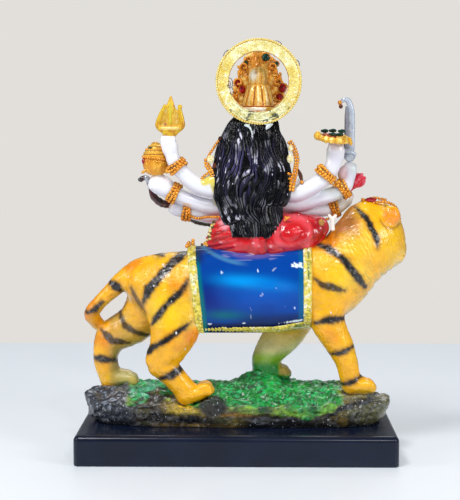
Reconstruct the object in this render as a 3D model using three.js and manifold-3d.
// Durga figure: a painted resin casting of the eight-armed goddess riding a tiger, with glued-on
// halo, attributes and bead trim, standing on a black wooden plinth.
// Millimetres, +Z up. The origin is the middle of the plinth's underside.
// The goddess faces +Y and the tiger walks towards +X.

import * as THREE from 'three';
import { mergeVertices } from 'three/addons/utils/BufferGeometryUtils.js';
import Module from 'manifold-3d';

// Plinth
const PLINTH_LENGTH = 168;
const PLINTH_DEPTH = 72;
const PLINTH_HEIGHT = 16;
const PLINTH_EDGE_RADIUS = 3;
const PLINTH_CORNER_RADIUS = 3;

// The casting's height, from the plinth's top to the knob of the crown. Its pose and proportions
// are written in 200ths of this height, so one step of a station below is 1 mm as modelled.
const FIGURE_HEIGHT = 200;
const step = FIGURE_HEIGHT / 200;

// Separate pieces that are glued on
const GLUE_GAP = 0.3;
const HALO_OUTER_RADIUS = 22.2;
const HALO_WIDTH = 6.6;
const HALO_THICKNESS = 3;
const HALO_NOTCHES = 32;
const TRIDENT_HEIGHT = 22;
const TRIDENT_THICKNESS = 3.6;
const MACE_RADIUS = 7;
const SWORD_LENGTH = 33;
const SWORD_BLADE_WIDTH = 5;
const SWORD_BLADE_THICKNESS = 1.8;
const DISC_RADIUS = 9.2;
const DISC_THICKNESS = 4;
const LOTUS_PETAL_LENGTH = 8.5;
const BOW_THICKNESS = 3;
const BEAD_RADIUS = 1;

const PAINT = {
  plinth: { color: 0x101012, roughness: 0.35, metalness: 0 },
  casting: { color: 0xe89a1c, roughness: 0.3, metalness: 0 },
  halo: { color: 0xe2c65c, roughness: 0.4, metalness: 0.7 },
  gilt: { color: 0xd9a52a, roughness: 0.4, metalness: 0.6 },
  beads: { color: 0xc9741a, roughness: 0.35, metalness: 0.7 },
  silver: { color: 0x9aa3ad, roughness: 0.35, metalness: 0.7 },
  petals: { color: 0xd02438, roughness: 0.4, metalness: 0 },
  bow: { color: 0x4a1018, roughness: 0.3, metalness: 0 },
};

const wasm = await Module();
wasm.setup();

// A place in the figure's own steps, above the middle of the plinth's top
const place = (x, y, z) => new THREE.Vector3(x, y, z).multiplyScalar(step);

// Solids

function solidFromFaces(points, faces) {
  const vertProperties = new Float32Array(points.flatMap((point) => point.toArray()));
  const build = (triVerts) => new wasm.Manifold(new wasm.Mesh({ numProp: 3, vertProperties, triVerts }));
  const solid = build(new Uint32Array(faces));
  return solid.volume() > 0 ? solid : build(new Uint32Array(faces).reverse());
}

function solidFromGeometry(geometry) {
  geometry.deleteAttribute('normal');
  geometry.deleteAttribute('uv');
  const merged = mergeVertices(geometry, 1e-4);
  const vertProperties = new Float32Array(merged.attributes.position.array);
  const triVerts = new Uint32Array(merged.index.array);
  return new wasm.Manifold(new wasm.Mesh({ numProp: 3, vertProperties, triVerts }));
}

function join(solids) {
  return solids.reduce((whole, solid) => whole.add(solid));
}

// Cast resin fills any pocket that its forms close in between them, so a shell that faces inwards
// is left out. Faces are grouped into shells by the corners that they share.
function withoutPockets(vertProperties, triVerts) {
  const leader = Array.from({ length: vertProperties.length / 3 }, (_, i) => i);
  const shellOf = (corner) => {
    while (leader[corner] !== corner) {
      leader[corner] = leader[leader[corner]];
      corner = leader[corner];
    }
    return corner;
  };
  const corner = (k) => new THREE.Vector3().fromArray(vertProperties, 3 * triVerts[k]);
  const volumes = new Map();
  for (let k = 0; k < triVerts.length; k += 3) {
    leader[shellOf(triVerts[k + 1])] = shellOf(triVerts[k]);
    leader[shellOf(triVerts[k + 2])] = shellOf(triVerts[k]);
  }
  for (let k = 0; k < triVerts.length; k += 3) {
    const shell = shellOf(triVerts[k]);
    const volume = corner(k).dot(corner(k + 1).cross(corner(k + 2))) / 6;
    volumes.set(shell, (volumes.get(shell) ?? 0) + volume);
  }
  return triVerts.filter((vertex) => volumes.get(shellOf(vertex)) > 0);
}

function geometryOf(solid) {
  const mesh = solid.getMesh();
  const { vertProperties } = mesh;
  const triVerts = withoutPockets(vertProperties, mesh.triVerts);
  const geometry = new THREE.BufferGeometry();
  geometry.setAttribute('position', new THREE.BufferAttribute(new Float32Array(vertProperties), 3));
  geometry.setIndex(new THREE.BufferAttribute(new Uint32Array(triVerts), 1));
  geometry.computeVertexNormals();
  return geometry;
}

// Sections of equally many points, one after another, are skinned and closed at both ends.
function skin(sections) {
  const sides = sections[0].length;
  const middle = (section) => section
    .reduce((sum, point) => sum.add(point), new THREE.Vector3())
    .divideScalar(sides);
  const points = [...sections.flat(), middle(sections[0]), middle(sections.at(-1))];
  const startTip = points.length - 2;
  const endTip = points.length - 1;
  const endSection = (sections.length - 1) * sides;
  const faces = [];
  for (let j = 0; j < sides; j += 1) {
    const next = (j + 1) % sides;
    for (let start = 0; start < endSection; start += sides) {
      const above = start + sides;
      faces.push(start + j, start + next, above + j, start + next, above + next, above + j);
    }
    faces.push(startTip, next, j, endTip, endSection + j, endSection + next);
  }
  return solidFromFaces(points, faces);
}

// A limb runs through stations [x, y, z, half width, half depth]. The depth lies along `facing` as
// nearly as the limb's direction lets it, `carve(angle, run)` raises or sinks the surface, and
// `growth` makes the limb fatter all round.
function limb(stations, options = {}) {
  const { sides = 10, steps = 2, facing = [0, 1, 0], carve = () => 1, growth = 0 } = options;
  const { roundStart = false, roundEnd = true } = options;
  const path = new THREE.CatmullRomCurve3(stations.map(([x, y, z]) => place(x, y, z)));
  const sizes = new THREE.CatmullRomCurve3(stations.map(([, , , width, depth]) => place(width, depth, 0)));
  const count = Math.round((stations.length - 1) * steps);
  const sectionAt = (run, shift, share) => {
    const along = path.getTangent(run);
    const across = new THREE.Vector3().crossVectors(along, new THREE.Vector3(...facing)).normalize();
    const deep = new THREE.Vector3().crossVectors(across, along).normalize();
    const size = sizes.getPoint(run);
    const reach = Math.min(size.x, size.y) + 1.5 * growth;
    const centre = path.getPoint(run).addScaledVector(along, shift * reach);
    return Array.from({ length: sides }, (_, j) => {
      const angle = (j / sides) * 2 * Math.PI;
      const raise = share * carve(angle, run);
      return centre.clone()
        .addScaledVector(across, Math.cos(angle) * (size.x * raise + growth))
        .addScaledVector(deep, Math.sin(angle) * (size.y * raise + growth));
    });
  };
  const sections = [];
  if (roundStart) sections.push(sectionAt(0, -0.92, 0.4), sectionAt(0, -0.6, 0.8));
  for (let i = 0; i <= count; i += 1) sections.push(sectionAt(i / count, 0, 1));
  if (roundEnd) sections.push(sectionAt(1, 0.6, 0.8), sectionAt(1, 0.92, 0.4));
  return skin(sections);
}

// An egg-shaped lump at [x, y, z] with half sizes [rx, ry, rz]
function lump([x, y, z], radii, columns = 12, rows = 8, growth = 0) {
  const geometry = new THREE.SphereGeometry(1, columns, rows);
  geometry.rotateX(Math.PI / 2);
  geometry.scale(...radii.map((radius) => radius * step + 1.2 * growth));
  geometry.translate(...place(x, y, z).toArray());
  return solidFromGeometry(geometry);
}

// Plinth: a slab with rounded upright corners and a rounded upper edge

function plinthSolid() {
  const arcSteps = 2;
  const levels = [{ inset: 0.6, z: 0 }, { inset: 0, z: 0.6 }];
  for (let i = 0; i <= arcSteps; i += 1) {
    const turn = (i / arcSteps) * (Math.PI / 2);
    levels.push({
      inset: PLINTH_EDGE_RADIUS * (1 - Math.cos(turn)),
      z: PLINTH_HEIGHT - PLINTH_EDGE_RADIUS * (1 - Math.sin(turn)),
    });
  }
  const outline = ({ inset, z }) => {
    const halfLength = PLINTH_LENGTH / 2 - inset;
    const halfDepth = PLINTH_DEPTH / 2 - inset;
    const radius = Math.max(PLINTH_CORNER_RADIUS, PLINTH_EDGE_RADIUS + 0.2) - inset;
    const points = [];
    for (let corner = 0; corner < 4; corner += 1) {
      const signX = corner === 0 || corner === 3 ? 1 : -1;
      const signY = corner < 2 ? 1 : -1;
      for (let i = 0; i <= arcSteps; i += 1) {
        const turn = (corner + i / arcSteps) * (Math.PI / 2);
        points.push(new THREE.Vector3(
          signX * (halfLength - radius) + radius * Math.cos(turn),
          signY * (halfDepth - radius) + radius * Math.sin(turn),
          z,
        ));
      }
    }
    return points;
  };
  return skin(levels.map(outline));
}

// Rocky ground under the tiger

const GROUND_HALF_LENGTH = 80;
const GROUND_HALF_DEPTH = 20.5;
const GROUND_CENTRE = [-0.5, 4.5];

function mound(x, y, centreX, centreY, spreadX, spreadY) {
  return Math.exp(-(((x - centreX) / spreadX) ** 2) - ((y - centreY) / spreadY) ** 2);
}

function groundHeight(x, y) {
  const slope = THREE.MathUtils.smoothstep(y, -14, 4);
  const lumps = 0.7 * Math.sin(0.55 * x + 0.4 * y) + 0.5 * Math.sin(0.31 * x - 0.8 * y);
  return 11.5 + 6 * slope + lumps
    + 10 * mound(x, y, 20, 13, 15, 9)
    + 5 * mound(x, y, 64, -7, 15, 9)
    + 4.5 * mound(x, y, -78, -4, 10, 16)
    + 4 * mound(x, y, -62, 14, 12, 10)
    + 2 * mound(x, y, -8, 2, 8, 8)
    - 2.5 * mound(x, y, -16, -12, 8, 5);
}

// Rings of the same outline, each at a share of the full size. A ring's height is above the plinth,
// or, where `drop` is given, that far below the ground's own height.
function groundSolid() {
  const sides = 32;
  const squarer = (value, power) => Math.sign(value) * Math.abs(value) ** power;
  const ring = (share, { height, drop }) => Array.from({ length: sides }, (_, j) => {
    const angle = (j / sides) * 2 * Math.PI;
    const waver = 0.035 * Math.sin(5 * angle + 1) + 0.025 * Math.sin(11 * angle);
    const alongX = squarer(Math.cos(angle), 0.5) * (1 + 0.3 * waver);
    const alongY = squarer(Math.sin(angle), 0.62) * (1 + waver);
    const x = GROUND_CENTRE[0] + GROUND_HALF_LENGTH * share * alongX;
    const y = GROUND_CENTRE[1] + GROUND_HALF_DEPTH * share * alongY;
    return place(x, y, height ?? groundHeight(x, y) - drop);
  });
  return skin([
    ring(0.955, { height: 0 }),
    ring(1, { height: 4 }),
    ring(1.025, { drop: 5 }),
    ring(0.995, { drop: 0.8 }),
    ring(0.85, { drop: 0 }),
    ring(0.55, { drop: 0 }),
    ring(0.25, { drop: 0 }),
  ]);
}

// Tiger

function tigerHeadSolids(growth = 0) {
  return [
    lump([75, 12, 99], [15.5, 17, 20], 13, 8, growth),
    lump([81.5, 5, 112], [4.8, 2.6, 5], 8, 5, growth),
    lump([62.5, 5, 114.5], [4.8, 2.6, 5], 8, 5, growth),
  ];
}

function tigerSolids() {
  const barrel = limb([
    [-53, 4, 76, 6, 7], [-46.5, 4, 74.5, 13.5, 13.5], [-33, 4, 71, 20.5, 17.5], [-12, 4, 70.5, 22, 18],
    [10, 4, 70.5, 22, 18], [30, 4, 72.5, 22.5, 18.5], [46, 4, 75.5, 21.5, 18], [56.5, 4, 78.5, 17, 15],
  ], { sides: 13, steps: 1, roundStart: true });
  const neck = limb([
    [46, 4, 80.5, 18, 15.5], [58, 4, 85.5, 17.5, 16], [66.5, 6, 94, 18.5, 17], [72.5, 9, 98.5, 17.5, 16],
  ], { sides: 12, steps: 1, carve: (angle, run) => 1 + 0.04 * run * Math.cos(4 * angle) });
  const tail = limb([
    [-40.5, 4, 83.5, 6.5, 6.5], [-51.5, 4, 82.5, 5.5, 5.5], [-60.5, 4.5, 77, 5, 5], [-67, 5.5, 71, 4.5, 4.5],
    [-74, 7, 64, 4, 4], [-78.5, 9, 58, 4, 4], [-76.5, 12, 52, 3.5, 3.5],
  ], { sides: 8, steps: 1 });
  const muzzle = limb([[75.5, 20, 93, 11, 10.5], [76.5, 27, 90, 9.5, 8.8], [77, 31.5, 89, 7, 6.5]], {
    facing: [0, 0, 1],
    sides: 8,
    steps: 1,
  });
  const nose = lump([77, 36.6, 92], [3, 2.2, 2], 6, 4);
  return [barrel, neck, tail, ...tigerHeadSolids(), muzzle, nose];
}

const LEGS = [
  // near foreleg
  {
    shank: [[45.5, -5, 72.5, 14, 9], [48, -7, 57, 9.5, 8.5], [54, -8, 44, 7.5, 7], [58, -8, 34.5, 6, 6],
      [60.5, -8, 24.5, 5.5, 6]],
    paw: [[56.5, -8, 22, 5, 5.8], [62.5, -8, 22.5, 5.4, 6.8], [69.5, -8, 21.5, 4.8, 6.8],
      [73.5, -8, 20, 3, 5.2]],
  },
  // far foreleg
  {
    shank: [[34.5, 12, 64.5, 13, 9], [26.5, 14, 48, 11, 8], [19, 15, 37.5, 8.5, 7], [15.5, 15, 31.5, 7, 6.5],
      [15.5, 15, 24, 7, 6.2]],
    paw: [[14, 15, 24, 5, 5.8], [22.5, 15.5, 25, 5, 6.4], [28.5, 16, 24, 3.6, 5.2]],
  },
  // near hind leg
  {
    shank: [[-36, -4, 72.5, 15, 10], [-32.5, -7, 57, 14.5, 10], [-35, -10, 44.5, 11, 8.5],
      [-39.5, -10, 35.5, 8, 7], [-34, -10, 27.5, 6.5, 6], [-27.5, -10, 20, 6, 6]],
    paw: [[-28.5, -10, 17, 5.4, 5.8], [-20.5, -10, 17.5, 5.6, 6.8], [-15, -10, 16.5, 4.4, 6.2],
      [-12.5, -10, 15.5, 2.8, 4.6]],
  },
  // far hind leg
  {
    shank: [[-43, 8, 69, 14, 9], [-54, 12, 53.5, 11, 9], [-67, 14, 44.5, 9, 8], [-71.5, 14, 35.5, 7, 6.5],
      [-71, 14, 27.5, 6.5, 6.2], [-68.5, 14, 21, 6, 6]],
    paw: [[-69.5, 14, 20.5, 5, 5.8], [-61.5, 14, 21.5, 5, 6.8], [-56, 14, 20, 3.8, 5.6]],
  },
];

// The toes show as grooves along the top of each paw.
function legSolids({ shank, paw }) {
  const toes = (angle, run) => 1 + 0.07 * run * Math.cos(4 * angle);
  return [
    limb(shank, { sides: 8, steps: 1.2, roundEnd: false }),
    limb(paw, { sides: 8, steps: 1, carve: toes }),
  ];
}

// Saddle cloth: a broad sleeve over the barrel, flat below, with a raised border on three sides

const CLOTH_BOTTOM_Z = 51;
const CLOTH_THICKNESS = 1.2;
const CLOTH_BORDER_WIDTH = 3.4;
const CLOTH_BORDER_RAISE = 0.7;
const CLOTH_SIDES = 22;

// The barrel under the cloth's two ends: [x, z, half height, half depth]
const CLOTH_TAIL_END = [-22, 71, 22.3, 18.6];
const CLOTH_HEAD_END = [38, 73, 22.7, 19.2];

function clothSolid() {
  const border = CLOTH_BORDER_WIDTH / (CLOTH_HEAD_END[0] - CLOTH_TAIL_END[0]);
  const rounded = (value) => Math.sign(value) * Math.abs(value) ** 0.72;
  const section = (share, raised) => {
    const between = (value, k) => THREE.MathUtils.lerp(value, CLOTH_HEAD_END[k], share);
    const [x, z, high, deep] = CLOTH_TAIL_END.map(between);
    return Array.from({ length: CLOTH_SIDES }, (_, j) => {
      const angle = THREE.MathUtils.mapLinear(j, 0, CLOTH_SIDES - 1, -1.12, Math.PI + 1.12);
      const sin = rounded(Math.sin(angle));
      const height = Math.max(z + sin * (high + CLOTH_THICKNESS), CLOTH_BOTTOM_Z);
      const inBorder = raised || height < CLOTH_BOTTOM_Z + CLOTH_BORDER_WIDTH;
      const proud = CLOTH_THICKNESS + (inBorder ? CLOTH_BORDER_RAISE : 0);
      const pointZ = Math.max(z + sin * (high + proud), CLOTH_BOTTOM_Z);
      const lean = (1 - share) * THREE.MathUtils.mapLinear(pointZ, CLOTH_BOTTOM_Z, 94, 1.8, -3.2);
      return place(x + lean, 4 + rounded(Math.cos(angle)) * (deep + proud), pointZ);
    });
  };
  return skin([
    section(0, true), section(border, true), section(border * 1.2, false), section(0.5, false),
    section(1 - border * 1.2, false), section(1 - border, true), section(1, true),
  ]);
}

// Goddess: body, dress, hair, crown and arms

function bodySolids() {
  const torso = limb([
    [11, 5, 101.5, 14, 10], [10, 5, 111.5, 12, 8.5], [10, 5, 122, 11, 8], [10, 5, 131, 13.5, 8],
    [10, 5, 137, 11, 7], [10, 6, 143, 4.5, 4.5],
  ], { sides: 9, steps: 1 });
  const breasts = [5, 15].map((x) => lump([x, 12, 127.5], [5, 4.6, 5], 7, 5));
  const head = lump([10, 8, 153], [8.5, 9.5, 11.5], 12, 8);
  const nose = limb([[10, 17, 156, 0.9, 0.9], [10, 18, 151.8, 1.5, 1.4]], { sides: 5, steps: 1 });
  const chin = lump([10, 14.6, 144.6], [3.2, 2.4, 2.6], 6, 4);
  const ears = [1.6, 18.4].map((x) => lump([x, 8.5, 151.5], [1.4, 2.2, 3.4], 6, 4));
  return [torso, ...breasts, head, nose, chin, ...ears];
}

// Folds spread from the seat: grooves that run round each gathered form of the dress
function dressSolids() {
  const folds = (count, depth) => (angle, run) => 1 + depth * Math.cos(count * 2 * Math.PI * run);
  const seat = limb([
    [-13, 4, 98, 8, 9], [-6, 3, 100, 11, 12.5], [10, 2.5, 99, 11.5, 15], [24, 2.5, 100.5, 12.5, 15],
    [36, 3, 103, 12.5, 13], [44, 4, 105, 8, 8.5],
  ], {
    sides: 12,
    steps: 2,
    roundStart: true,
    carve: folds(5, 0.035),
  });
  const gatheredSide = limb([
    [-14.5, 3, 96, 3.5, 6], [-11, 3, 103, 5.4, 7], [-8, 3, 110, 5, 6.5], [-7, 4, 117, 3.4, 5],
  ], {
    sides: 9,
    steps: 1,
    carve: (angle) => 1 + 0.07 * Math.cos(3 * angle),
  });
  const waist = limb([[10, 4, 101, 19, 12], [10, 4.5, 109, 15, 10], [10, 5, 117, 12, 9]], {
    sides: 16,
    steps: 1,
    carve: (angle, run) => 1 + 0.05 * (1 - run) * Math.cos(8 * angle),
  });
  const shin = limb([
    [-4, 12, 101, 8, 8], [-7, 23, 96, 8, 7.5], [-7.5, 28, 84, 6.5, 6.5], [-7, 28.5, 70, 5.6, 5.6],
    [-7, 28.5, 63, 6, 6],
  ], {
    facing: [1, 0.6, 0],
    sides: 8,
    steps: 1,
    carve: (angle) => 1 + 0.04 * Math.cos(4 * angle),
  });
  const foot = limb([[-7, 28, 60, 3.2, 3], [-7, 33, 57.5, 3, 2.4], [-7, 38, 56.5, 2.6, 1.6]], {
    facing: [1, 0, 0],
    sides: 8,
    steps: 1,
    roundStart: true,
  });
  const crossedLeg = limb([
    [34, 8, 102, 9, 8.5], [28, 18, 101, 8, 8], [16, 23, 101, 6.8, 6.4], [5, 24, 102.5, 5, 4.6],
  ], {
    facing: [0, 0, 1],
    sides: 9,
    carve: (angle, run) => 1 + 0.05 * Math.cos(6 * Math.PI * run),
  });
  const crossedFoot = limb([[4, 24, 102.5, 3.4, 3], [-2, 25.5, 103, 3, 2.4], [-6, 26.5, 104, 2.4, 1.8]], {
    facing: [0, 0, 1],
    sides: 8,
    steps: 1,
  });
  return [seat, gatheredSide, waist, shin, foot, crossedLeg, crossedFoot];
}

// Long wavy locks: grooves that run down the back and sway
function hairSolid(growth = 0) {
  const locks = (angle, run) => 1 + 0.06 * Math.cos(8 * angle + 2.2 * Math.sin(9 * run));
  return limb([
    [10.5, 6, 168.5, 8.5, 8], [10.5, 4.5, 163, 12.5, 9.5], [9, 2, 156.5, 15.5, 10], [8.5, 0.5, 149, 18, 9],
    [7.5, -0.5, 140, 20, 8.5], [7.5, -1, 131, 21, 8], [7.5, -2, 122, 20.5, 7], [8, -3.5, 113.5, 18, 6.5],
    [9.5, -6, 106, 14.5, 6.4], [11, -9, 100, 9.5, 5.4], [11.5, -10.6, 97, 4, 3.4],
  ], { sides: 24, steps: 1.2, carve: locks, growth, roundEnd: false });
}

// Crown: a fluted dome at the back and a pointed front plate with scalloped edges
function crownSolids() {
  const [crownX, crownY] = [10, 7];
  const flutes = 9;
  const columns = flutes * 2;
  const profile = [[9.4, 166], [10, 168.6], [8.6, 170], [6.4, 179], [6.2, 185], [3.4, 191], [1.5, 195.5]];
  const sections = profile.map(([radius, z]) => Array.from({ length: columns }, (_, j) => {
    const angle = (j / columns) * 2 * Math.PI;
    const fluted = z > 169 && z < 190 ? 1 + 0.07 * Math.cos(flutes * angle) : 1;
    return place(crownX + radius * fluted * Math.cos(angle), crownY + radius * fluted * Math.sin(angle), z);
  }));
  const knob = lump([crownX, crownY, 197.6], [2.2, 2.2, 2.4], 7, 5);
  const halfOutline = new THREE.SplineCurve([
    [9.5, 165], [13.6, 169], [14.6, 174.5], [12.4, 181], [9.6, 187], [6.8, 192], [0, 196],
  ].map(([x, z]) => new THREE.Vector2(x, z)));
  const scallops = 9;
  const rightEdge = halfOutline.getPoints(scallops * 2)
    .map((point, i) => new THREE.Vector2(point.x + (i % 2 ? 0.9 : 0), point.y).multiplyScalar(step));
  const leftEdge = rightEdge.slice(0, -1).reverse().map((point) => new THREE.Vector2(-point.x, point.y));
  const plate = new THREE.Shape([...rightEdge, ...leftEdge]);
  const thickness = 3 * step;
  const panel = new THREE.ExtrudeGeometry(plate, { depth: thickness, bevelEnabled: false });
  panel.rotateX(Math.PI / 2);
  panel.translate(crownX * step, (crownY + 9.5) * step, 0);
  return [skin(sections), knob, solidFromGeometry(panel)];
}

const ARMS = {
  leftUpper: [[-3, 3, 124, 5, 5], [-13, 1, 125, 4.5, 4.5], [-21, 0, 127.5, 4.4, 4.2],
    [-28, -1, 133.5, 4, 3.9], [-33, -1, 140, 3.8, 3.7], [-35, -1, 147, 3.9, 3.6], [-36, -1, 151, 4, 3.5]],
  leftMiddle: [[-2, 7, 116.5, 4.6, 4.6], [-14, 6, 116.2, 4.4, 4.2], [-25, 5, 119.4, 4.1, 4],
    [-33, 5, 123, 4.1, 4], [-38.5, 5, 126.2, 5.2, 4.4], [-42.5, 5, 128.6, 4.8, 4]],
  leftLower: [[-2, 10, 110.5, 4.4, 4.4], [-13.5, 9.5, 110.6, 4.1, 4.1], [-24.5, 9, 112.8, 3.9, 3.8],
    [-30, 9, 113.6, 3.8, 3.6], [-33, 9, 114.8, 3.4, 3.3]],
  rightUpper: [[24, 3, 124.5, 5, 5], [31, 1, 123.5, 4.7, 4.5], [38, 0, 126, 4.5, 4.3],
    [45, -1, 130.4, 4.4, 4.1], [49.4, -1, 135.4, 4.1, 3.9], [51.6, -1, 141, 4.3, 3.8],
    [52.4, -1, 146.6, 4.6, 3.6]],
  rightMiddle: [[24, 7, 117.5, 4.6, 4.6], [33, 5, 117.8, 4.6, 4.4], [43, 4, 120.4, 4.3, 4.2],
    [51, 4, 122.8, 4.1, 3.9], [56.6, 4, 126, 4, 3.9], [59.2, 4, 131, 3.9, 3.7], [60.4, 4, 137.2, 3.3, 3.2]],
  rightLower: [[23, 9.5, 113, 4.4, 4.2], [34.5, 9, 113.6, 4.1, 4], [44.5, 10, 113.8, 3.8, 3.7],
    [53.5, 12, 114.8, 3.3, 3.2], [58.5, 14, 118.8, 3.5, 3.3], [60.6, 15, 122.4, 3.4, 3.2]],
};

// The foremost pair reaches towards +Y with open hands.
const FRONT_ARMS = {
  leftFront: [[-2, 10, 121, 4.4, 4.4], [-9, 16, 114, 4, 4], [-14, 23, 112.5, 3.7, 3.7],
    [-17, 29, 116.5, 3.2, 3.2], [-18.5, 31.5, 121, 3.8, 2.4], [-19, 32, 127, 3.4, 1.7]],
  rightFront: [[22, 10, 121, 4.4, 4.4], [29, 16, 114, 4, 4], [33, 23, 112.5, 3.7, 3.7],
    [35, 29, 117, 3.2, 3.2], [35.5, 31.5, 122, 3.8, 2.4], [35.5, 32, 128.5, 3.4, 1.7]],
};

function armSolids(growth = 0) {
  const arms = Object.values(ARMS).map((stations) => limb(stations, { sides: 7, steps: 1, growth }));
  const frontArms = Object.values(FRONT_ARMS)
    .map((stations) => limb(stations, { sides: 8, steps: 1, growth, facing: [1, 1, 0] }));
  return [...arms, ...frontArms];
}

// Glued-on pieces. Each takes a growth, so that its seat in the casting is the same shape with the
// glue gap all round.

const HALO_CENTRE = [11.5, -5.5, 182];

function haloSolid(growth = 0) {
  const samples = HALO_NOTCHES * 2;
  const outer = HALO_OUTER_RADIUS + growth;
  const inner = HALO_OUTER_RADIUS - HALO_WIDTH - growth;
  const shape = new THREE.Shape();
  for (let i = 0; i < samples; i += 1) {
    const angle = (i / samples) * 2 * Math.PI;
    const radius = outer - 0.3 + 0.3 * Math.cos(HALO_NOTCHES * angle);
    const point = [radius * Math.cos(angle), radius * Math.sin(angle)];
    if (i === 0) shape.moveTo(...point);
    else shape.lineTo(...point);
  }
  shape.closePath();
  const hole = new THREE.Path();
  hole.absarc(0, 0, inner, 0, 2 * Math.PI, true);
  shape.holes.push(hole);
  const depth = HALO_THICKNESS + 2 * growth;
  const ring = new THREE.ExtrudeGeometry(shape, { depth, bevelEnabled: false, curveSegments: 16 });
  ring.rotateX(Math.PI / 2);
  const [x, y, z] = place(...HALO_CENTRE).toArray();
  ring.translate(x, y + depth / 2, z);
  return solidFromGeometry(ring);
}

// Trident: a cup with a ribbed blade between two incurving prongs
const TRIDENT_FOOT = [-36, -1, 153.4];

function tridentSolid() {
  const share = TRIDENT_HEIGHT / 22 / step;
  const [footX, footY, footZ] = TRIDENT_FOOT;
  const thickness = (TRIDENT_THICKNESS / 2) * (1 / step);
  const at = (x, z) => [footX + x * share, footY, footZ + z * share];
  const cup = limb([[...at(0, 0), 1.9, 1.9], [...at(0, 3.5), 4.2, thickness]], {
    sides: 6,
    steps: 1,
    roundEnd: false,
  });
  const web = limb([[...at(0, 3), 4, 0.7], [...at(0, 6.5), 6.6, 0.8], [...at(0.2, 11), 5, 0.7]], {
    sides: 6,
    steps: 1,
    roundEnd: false,
  });
  const prong = (side) => limb([
    [...at(side * 1.5, 3.4), 1.5, thickness], [...at(side * 5.6, 5), 1.5, thickness],
    [...at(side * 6.9, 8.5), 1.3, thickness], [...at(side * 6, 13), 1.2, thickness * 0.8],
    [...at(side * 4.2, 17), 0.8, thickness * 0.5],
  ], { sides: 4, steps: 1, roundEnd: false });
  const blade = limb([
    [...at(0, 3), 1.8, thickness], [...at(0.4, 13), 2.3, thickness],
    [...at(0.8, 17.5), 2.2, thickness * 0.8], [...at(1, 22), 0.4, 0.4],
  ], { sides: 4, steps: 1, roundEnd: false });
  return join([cup, web, prong(-1), prong(1), blade]);
}

// Mace: a ribbed ball under a stepped cone
const MACE_CENTRE = [-43.4, 5, 139.4];

function maceSolid() {
  const ribs = 6;
  const columns = ribs * 2;
  const profile = [[0.35, -1], [0.8, -0.72], [1, -0.2], [0.97, 0.3], [0.74, 0.66], [0.8, 0.76], [0.5, 1.15],
    [0.15, 1.65]];
  const [x, y, z] = place(...MACE_CENTRE).toArray();
  return skin(profile.map(([radius, height]) => Array.from({ length: columns }, (_, j) => {
    const angle = (j / columns) * 2 * Math.PI;
    const out = MACE_RADIUS * radius * (1 + 0.05 * Math.cos(ribs * angle));
    return new THREE.Vector3(x + out * Math.cos(angle), y + out * Math.sin(angle), z + height * MACE_RADIUS);
  })));
}

// Sword: a round pommel above the fist and a blade that curls over at its tip
const SWORD_POMMEL = [60.3, 4, 142];

function swordSolid() {
  const share = SWORD_LENGTH / 33 / step;
  const wide = SWORD_BLADE_WIDTH / 2 / step;
  const thin = SWORD_BLADE_THICKNESS / 2 / step;
  const [pommelX, pommelY, pommelZ] = SWORD_POMMEL;
  const at = (x, z) => [pommelX + x * share, pommelY, pommelZ + z * share];
  const pommel = lump(SWORD_POMMEL, [2.9, 2.6, 2.6], 8, 5);
  const blade = limb([
    [...at(-0.6, 1), wide, thin * 1.4], [...at(-0.3, 8), wide, thin], [...at(0.1, 18), wide * 1.05, thin],
    [...at(-0.1, 26), wide * 0.9, thin], [...at(-2, 29.8), wide * 0.62, thin],
    [...at(-4.6, 30), wide * 0.4, thin],
  ], { sides: 6, steps: 1 });
  const knob = lump(at(-5.6, 28.6), [1.4, 1.4, 1.6], 6, 4);
  return join([pommel, blade, knob]);
}

// Disc weapon: a lobed wheel that lies on the fist, with a small handle at one side
const DISC_CENTRE = [52, -4.8, 152];

function discSolid() {
  const lobes = 7;
  const columns = lobes * 2;
  const half = DISC_THICKNESS / 2;
  const profile = [[0.35, -half], [0.9, -half * 0.9], [1, -half * 0.3], [1, half * 0.3], [0.9, half * 0.9],
    [0.72, half], [0.6, half * 0.45], [0.25, half * 0.45]];
  const [x, y, z] = place(...DISC_CENTRE).toArray();
  const wheel = skin(profile.map(([share, height]) => Array.from({ length: columns }, (_, j) => {
    const angle = (j / columns) * 2 * Math.PI;
    const out = DISC_RADIUS * share * (1 + 0.05 * Math.cos(lobes * angle));
    return new THREE.Vector3(x + out * Math.cos(angle), y + out * Math.sin(angle), z + height);
  })));
  const rim = DISC_CENTRE[0] - DISC_RADIUS / step;
  const handle = lump([rim, DISC_CENTRE[1], DISC_CENTRE[2] + 0.2], [1.8, 2.2, 2], 7, 5);
  return wheel.add(handle);
}

// Lotus bud: a ring of upright petals on a short stem
const LOTUS_BASE = [62.4, 15, 123.8];

function lotusSolid() {
  const [x, y, z] = LOTUS_BASE;
  const size = LOTUS_PETAL_LENGTH / step;
  const stem = limb([[x - 1.4, y, z - 1.4, 1, 1], [x + 2.6, y, z + 2.4, 1.6, 1.6]], {
    sides: 6,
    steps: 1,
    roundEnd: false,
  });
  const petals = Array.from({ length: 3 }, (_, i) => {
    const turn = (i / 3) * 2 * Math.PI;
    const out = (share) => [x + 2.6 + share * Math.cos(turn) + 1.2 * share, y + share * Math.sin(turn)];
    return limb([
      [...out(0), z + 1.2, 1, 1], [...out(1.5), z + 0.45 * size, 1.9, 1.3],
      [...out(1.9), z + size, 0.7, 0.6],
    ], { sides: 5, steps: 1, roundEnd: false });
  });
  return join([stem, ...petals]);
}

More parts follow.
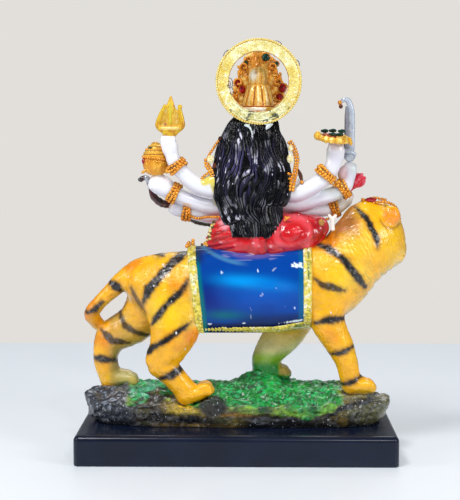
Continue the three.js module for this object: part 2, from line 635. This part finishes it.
// Bow: a double-curved stave, seen below the hands on the tiger's tail side
function bowSolid(growth = 0) {
  const half = (BOW_THICKNESS / 2 + growth) / step;
  const stave = [[-52.4, 14, 130], [-48.8, 14, 131], [-46.8, 14, 126], [-45.2, 14, 121],
    [-41, 14, 117.4], [-35.5, 15, 116], [-29.5, 18, 112.5], [-22.5, 18, 108.5], [-16.5, 16, 106.4]];
  const thick = [0.8, 0.8, 0.9, 1.3, 1.5, 1.3, 1.2, 1.2, 0.7];
  const stations = stave.map((point, i) => [...point, half * thick[i], half * thick[i]]);
  return limb(stations, { sides: 7, steps: 1, roundStart: true });
}

// Bead trim: chains of fused beads, each a waist and a swell of one thread

function beadRow(points, radius = BEAD_RADIUS) {
  const sides = 4;
  const path = new THREE.CatmullRomCurve3(points.map(([x, y, z]) => place(x, y, z)));
  const beads = Math.round(path.getLength() / (2 * radius));
  return skin(Array.from({ length: 2 * beads + 1 }, (_, i) => {
    const run = i / (2 * beads);
    const along = path.getTangentAt(run);
    const across = new THREE.Vector3().crossVectors(along, new THREE.Vector3(0, 1, 0)).normalize();
    const deep = new THREE.Vector3().crossVectors(across, along);
    const out = radius * (i % 2 ? 1.1 : 0.55);
    return Array.from({ length: sides }, (_unused, j) => {
      const angle = (j / sides) * 2 * Math.PI;
      return path.getPointAt(run)
        .addScaledVector(across, out * Math.cos(angle))
        .addScaledVector(deep, out * Math.sin(angle));
    });
  }));
}

const BEAD_CHAINS = {
  bead_chain_left_shoulder: [[-8.6, -1, 153.5], [-12, -2, 147], [-15.2, -2.5, 141], [-15.8, -2.5, 136],
    [-19.2, -1.5, 131]],
  bead_chain_right_shoulder: [[26.8, -1.5, 151], [30.2, -2.5, 145.5], [31.2, -3.2, 139.5],
    [30.4, -3.8, 132], [29, -4.2, 124.5]],
  bead_chain_tiger_head: [[65.5, 8, 117.5], [70, 6.5, 119.6], [76, 5.5, 119.6], [82.5, 6.5, 117.5],
    [88, 7, 111.5]],
};

function bracelet([x, y, z], bore, [leanX, leanZ]) {
  const columns = 8;
  const along = new THREE.Vector3(leanX, 0, leanZ).normalize();
  const deep = new THREE.Vector3(0, 1, 0);
  const across = new THREE.Vector3().crossVectors(along, deep);
  const tube = (profile) => skin(profile.map(([out, run]) => Array.from({ length: columns }, (_, j) => {
    const angle = (j / columns) * 2 * Math.PI;
    return place(x, y, z)
      .addScaledVector(along, run)
      .addScaledVector(across, out * Math.cos(angle))
      .addScaledVector(deep, out * Math.sin(angle));
  })));
  const inside = bore * step;
  const row = 2 * BEAD_RADIUS;
  const beads = tube([[inside + 0.5 * row, -row], [inside + row, -0.5 * row], [inside + row, 0.5 * row],
    [inside + 0.5 * row, row]]);
  return beads.subtract(tube([[inside, -2 * row], [inside, 2 * row]]));
}

const BRACELETS = {
  bracelet_left_upper: [[-31.7, -1, 137.7], 4.8, [-0.6, 0.8]],
  bracelet_left_middle: [[-33.6, 5, 123.3], 4.9, [-0.88, 0.47]],
  bracelet_left_lower: [[-27, 9, 113.2], 4.8, [-1, 0.1]],
  bracelet_right_upper: [[47.1, -1.4, 133.5], 4.8, [0.66, 0.75]],
  bracelet_right_middle: [[56.8, 4.4, 125.7], 4.8, [0.84, 0.54]],
  bracelet_right_lower: [[52.6, 11.8, 114.6], 4.3, [0.95, 0.3]],
};

// Assembly

function meshOf(name, solid, paint) {
  const mesh = new THREE.Mesh(geometryOf(solid), new THREE.MeshStandardMaterial(paint));
  mesh.name = name;
  return mesh;
}

const group = new THREE.Group();
group.add(meshOf('plinth', plinthSolid(), PAINT.plinth));

const figure = new THREE.Group();
figure.position.z = PLINTH_HEIGHT;
group.add(figure);

const modelled = join([
  groundSolid(),
  ...LEGS.flatMap(legSolids),
  ...tigerSolids(),
  clothSolid(),
  ...bodySolids(),
  ...dressSolids(),
  hairSolid(),
  ...crownSolids(),
  ...armSolids(),
]);
const casting = modelled.subtract(haloSolid(GLUE_GAP)).subtract(bowSolid(GLUE_GAP));
figure.add(meshOf('casting', casting, PAINT.casting));

figure.add(meshOf('halo_ring', haloSolid(), PAINT.halo));
figure.add(meshOf('bow', bowSolid(), PAINT.bow));

// What sits on an arm, the hair or the tiger's head is hollowed to fit it, less the glue gap.
const carriers = join([...armSolids(GLUE_GAP), hairSolid(GLUE_GAP), ...tigerHeadSolids(GLUE_GAP)]);
const addGlued = (name, solid, paint) => figure.add(meshOf(name, solid.subtract(carriers), paint));

addGlued('trident', tridentSolid(), PAINT.gilt);
addGlued('mace', maceSolid(), PAINT.gilt);
addGlued('disc', discSolid(), PAINT.gilt);
addGlued('sword', swordSolid(), PAINT.silver);
addGlued('lotus', lotusSolid(), PAINT.petals);
for (const [name, points] of Object.entries(BEAD_CHAINS)) addGlued(name, beadRow(points), PAINT.beads);
for (const [name, [centre, radius, lean]] of Object.entries(BRACELETS)) {
  addGlued(name, bracelet(centre, radius, lean), PAINT.beads);
}

export default group;
